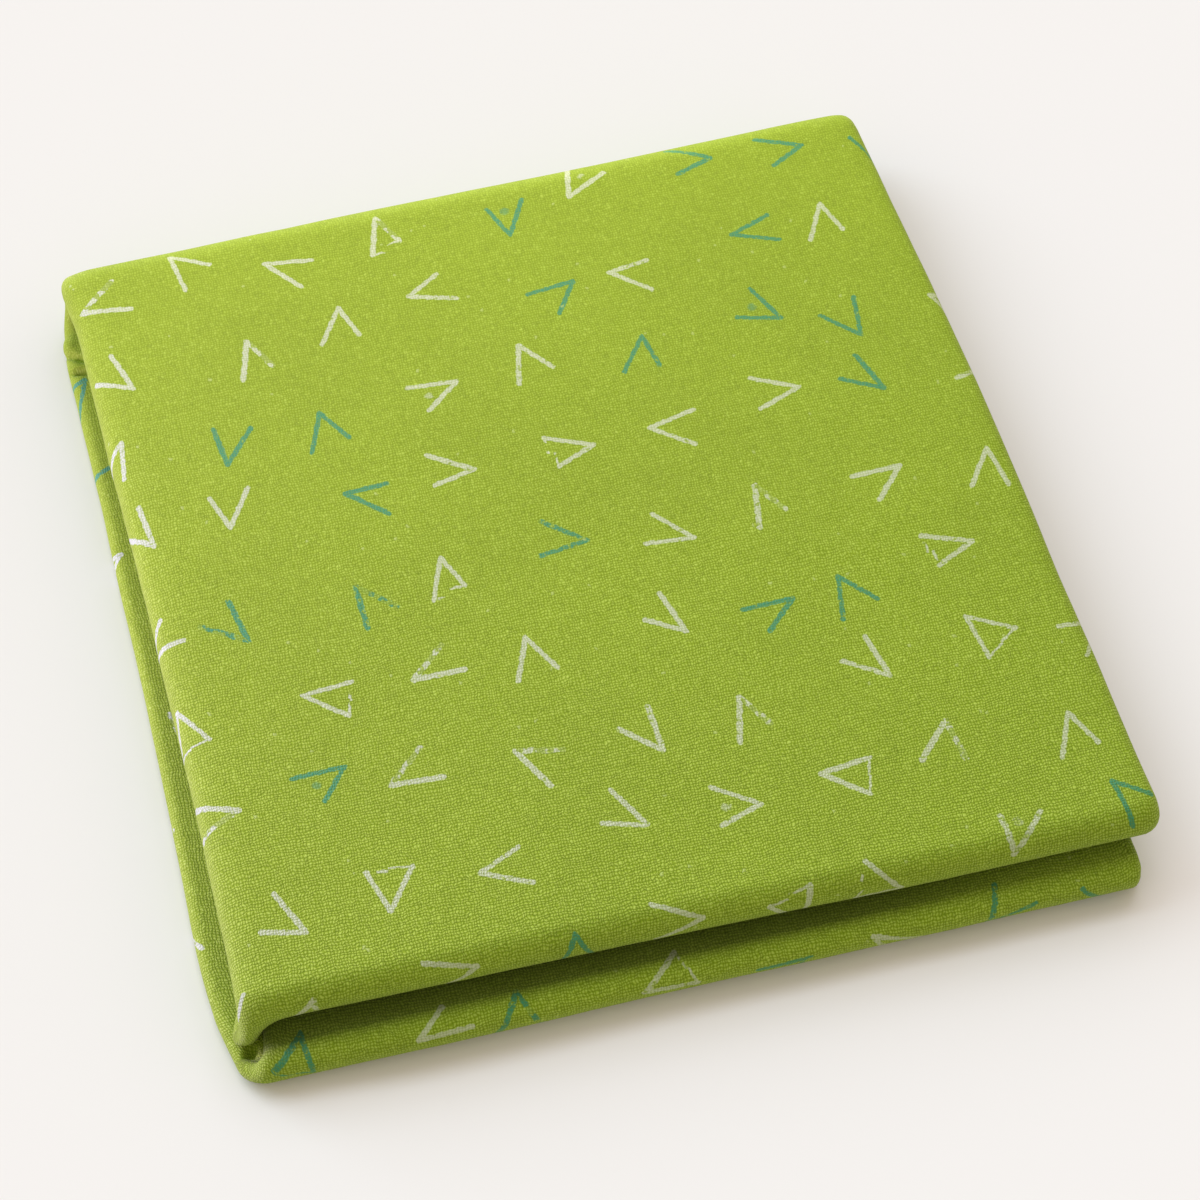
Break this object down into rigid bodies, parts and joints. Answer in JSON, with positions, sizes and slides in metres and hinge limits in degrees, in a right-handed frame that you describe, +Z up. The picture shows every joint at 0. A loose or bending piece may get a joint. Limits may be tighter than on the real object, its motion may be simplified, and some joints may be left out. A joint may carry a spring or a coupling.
{
  "type": "folded printed fabric",
  "caption": "Cut length of printed cotton, folded both ways into a soft nearly square packet that lies flat.",
  "frame": {"origin": "middle of the packet's outline, on the flat underside it rests on", "axes": "+Z up through the layers, +X to the right along the front folds, +Y to the back, where the spine is"},
  "size_m": [0.2524, 0.2692, 0.027],
  "materials": {
    "printed_cotton": "matte plain weave in lime green with cream and teal printed strokes"
  },
  "bodies": {
    "root": {"folded_cloth": "printed_cotton"}
  },
  "joints": []
}
